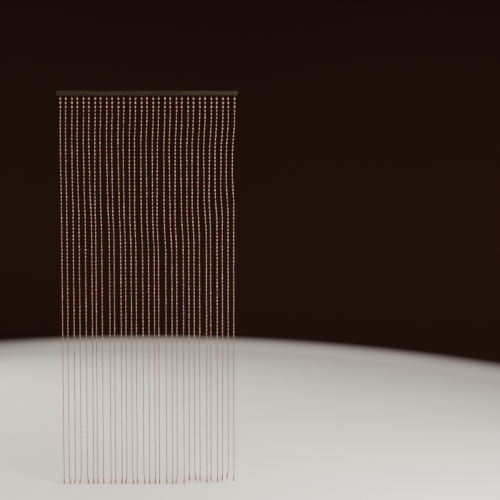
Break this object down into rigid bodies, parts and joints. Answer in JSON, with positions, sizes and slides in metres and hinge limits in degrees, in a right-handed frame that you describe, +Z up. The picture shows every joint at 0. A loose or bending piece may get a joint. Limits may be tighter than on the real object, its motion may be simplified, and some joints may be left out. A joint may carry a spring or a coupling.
{
  "type": "bead curtain with head rail",
  "caption": "Doorway bead curtain: strands of oval and small round wooden beads hanging from a slim wooden head rail, with a long drop at each foot.",
  "frame": {"origin": "centre of the head rail's flat top face, where the curtain is fixed up", "axes": "+Z up, the strands hang along -Z; +X along the rail to the right as one faces the curtain; +Y away through the doorway"},
  "size_m": [0.91, 0.018, 2],
  "materials": {
    "stained_wood": "dark olive-brown stain, satin",
    "barrel_bead": "mottled red-brown wood under gloss lacquer",
    "spacer_bead": "deep maroon wood, high gloss lacquer",
    "end_drop": "rose-red wood under gloss lacquer",
    "cord": "dark twisted cord, matt"
  },
  "bodies": {
    "root": {"rail": "stained_wood", "strands": "barrel_bead"}
  },
  "joints": []
}
